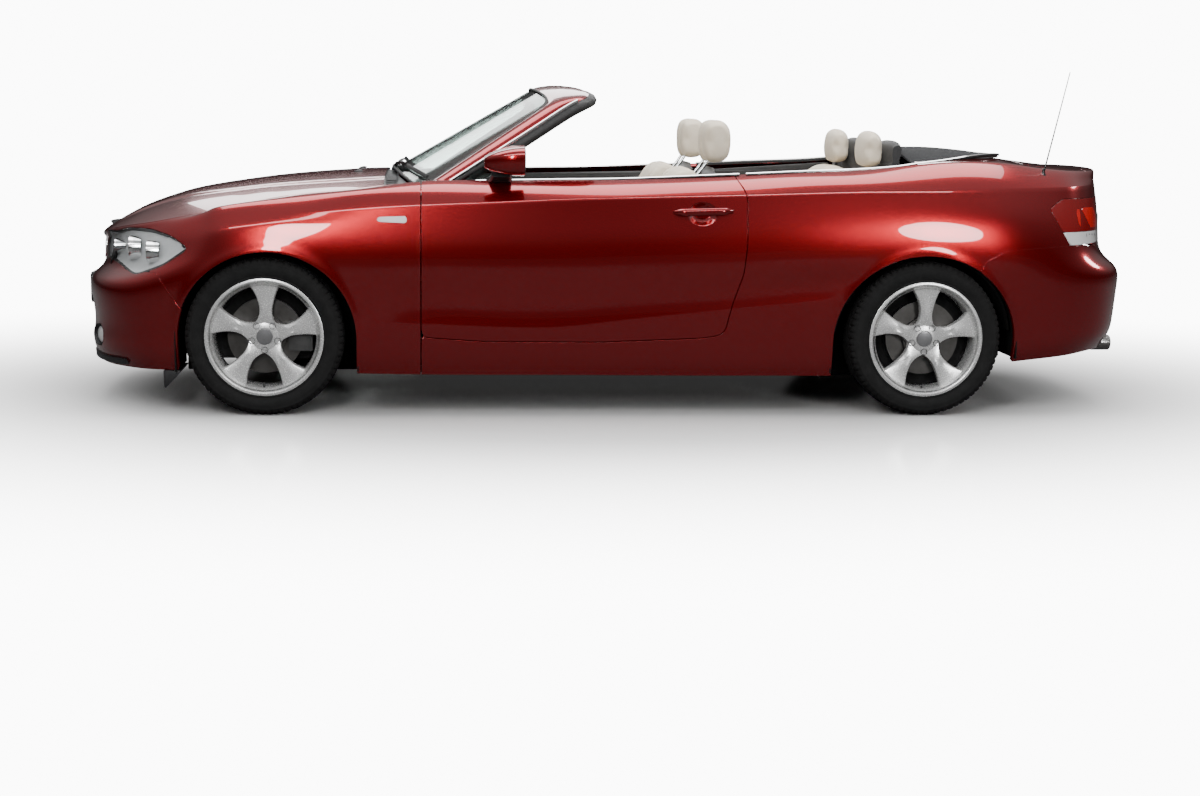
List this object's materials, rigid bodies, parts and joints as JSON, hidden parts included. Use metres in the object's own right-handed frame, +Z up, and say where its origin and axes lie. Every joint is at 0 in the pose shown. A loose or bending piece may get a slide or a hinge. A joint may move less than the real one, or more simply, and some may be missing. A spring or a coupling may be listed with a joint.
{
  "type": "convertible car",
  "caption": "Open family convertible with its soft top stowed: seats in a hollow cabin, steered front wheels, opening doors, bonnet, boot lid and tonneau cover.",
  "frame": {"origin": "on the ground, under the middle of the overall length and width", "axes": "+X to the front of the car, +Y to its left side, +Z up"},
  "size_m": [4.36, 2.024, 1.3975],
  "materials": {
    "body_paint": "deep red metallic paint under clear coat",
    "black_plastic": "black grained plastic",
    "tonneau_skin": "dark grey satin cover",
    "dark_steel": "dark painted steel and iron",
    "clear_lens": "clear lens",
    "red_lens": "red lens",
    "window_glass": "clear laminated glass",
    "cream_leather": "cream leather",
    "exhaust_steel": "stainless steel",
    "tyre_rubber": "black tyre rubber",
    "rim_alloy": "silver painted light alloy",
    "disc_iron": "machined grey iron"
  },
  "bodies": {
    "chassis": {"antenna": "black_plastic", "body_side_left": "body_paint", "body_side_right": "body_paint", "centre_console": "black_plastic", "cowl_panel": "black_plastic", "dashboard": "black_plastic", "engine_block": "dark_steel", "exhaust": "exhaust_steel", "fender_left": "body_paint", "fender_right": "body_paint", "floor_structure": "dark_steel", "fog_lamps": "clear_lens", "front_axle": "dark_steel", "front_bumper": "body_paint", "front_headrests": "cream_leather", "front_seat_backrests": "cream_leather", "front_seat_cushions": "cream_leather", "front_structure": "dark_steel", "front_wheelhouses": "dark_steel", "grille": "black_plastic", "headlamps": "clear_lens", "rear_axle": "dark_steel", "rear_bumper": "body_paint", "rear_deck": "body_paint", "rear_headrests": "cream_leather", "rear_seat": "cream_leather", "rear_shelf": "black_plastic", "rear_structure": "dark_steel", "rear_wheelhouses": "dark_steel", "seat_bases": "black_plastic", "steering_column": "black_plastic", "tail_lamps": "red_lens", "windscreen_frame": "black_plastic", "windscreen_glass": "window_glass", "wipers": "black_plastic"},
    "hood": {"hood": "body_paint"},
    "trunk_lid": {"trunk_lid": "body_paint"},
    "tonneau_cover": {"tonneau_cover": "tonneau_skin"},
    "door_left": {"door_left": "body_paint", "mirror_left": "body_paint"},
    "door_right": {"door_right": "body_paint", "mirror_right": "body_paint"},
    "steering_wheel": {"steering_wheel": "black_plastic"},
    "knuckle_left": {"knuckle_left": "dark_steel"},
    "knuckle_right": {"knuckle_right": "dark_steel"},
    "wheel_front_left": {"tyre_front_left": "tyre_rubber", "rim_front_left": "rim_alloy", "brake_disc_front_left": "disc_iron"},
    "wheel_front_right": {"tyre_front_right": "tyre_rubber", "rim_front_right": "rim_alloy", "brake_disc_front_right": "disc_iron"},
    "wheel_rear_left": {"tyre_rear_left": "tyre_rubber", "rim_rear_left": "rim_alloy", "brake_disc_rear_left": "disc_iron"},
    "wheel_rear_right": {"tyre_rear_right": "tyre_rubber", "rim_rear_right": "rim_alloy", "brake_disc_rear_right": "disc_iron"}
  },
  "joints": [
    {"name": "steer_left", "type": "hinge", "parent": "chassis", "child": "knuckle_left", "pos_m": [1.42, 0.722, 0.314], "axis": [0, 0, 1], "range_deg": [-35, 35]},
    {"name": "steer_right", "type": "hinge", "parent": "chassis", "child": "knuckle_right", "pos_m": [1.42, -0.722, 0.314], "axis": [0, 0, 1], "range_deg": [-35, 35]},
    {"name": "steering_wheel_turn", "type": "hinge", "parent": "chassis", "child": "steering_wheel", "pos_m": [0.4, 0.37, 0.83], "axis": [-0.9063, 0, 0.4226], "range_deg": [-540, 540]},
    {"name": "spin_front_left", "type": "hinge", "parent": "knuckle_left", "child": "wheel_front_left", "pos_m": [1.42, 0.742, 0.314], "axis": [0, 1, 0], "continuous": true},
    {"name": "spin_front_right", "type": "hinge", "parent": "knuckle_right", "child": "wheel_front_right", "pos_m": [1.42, -0.742, 0.314], "axis": [0, 1, 0], "continuous": true},
    {"name": "spin_rear_left", "type": "hinge", "parent": "chassis", "child": "wheel_rear_left", "pos_m": [-1.24, 0.7535, 0.314], "axis": [0, 1, 0], "continuous": true},
    {"name": "spin_rear_right", "type": "hinge", "parent": "chassis", "child": "wheel_rear_right", "pos_m": [-1.24, -0.7535, 0.314], "axis": [0, 1, 0], "continuous": true},
    {"name": "door_left_swing", "type": "hinge", "parent": "chassis", "child": "door_left", "pos_m": [0.783, 0.86, 0.6], "axis": [0, 0, -1], "range_deg": [0, 65]},
    {"name": "door_right_swing", "type": "hinge", "parent": "chassis", "child": "door_right", "pos_m": [0.783, -0.86, 0.6], "axis": [0, 0, 1], "range_deg": [0, 65]},
    {"name": "hood_lift", "type": "hinge", "parent": "chassis", "child": "hood", "pos_m": [0.966, 0, 0.954], "axis": [0, -1, 0], "range_deg": [0, 55]},
    {"name": "trunk_lift", "type": "hinge", "parent": "chassis", "child": "trunk_lid", "pos_m": [-1.692, 0, 1.05], "axis": [0, 1, 0], "range_deg": [0, 70]},
    {"name": "tonneau_lift", "type": "hinge", "parent": "chassis", "child": "tonneau_cover", "pos_m": [-1.65, 0, 1.05], "axis": [0, -1, 0], "range_deg": [0, 60]}
  ],
  "couplings": [
    {"joint": "steer_right", "follows": "steer_left", "ratio": 1},
    {"joint": "steering_wheel_turn", "follows": "steer_left", "ratio": 15}
  ]
}
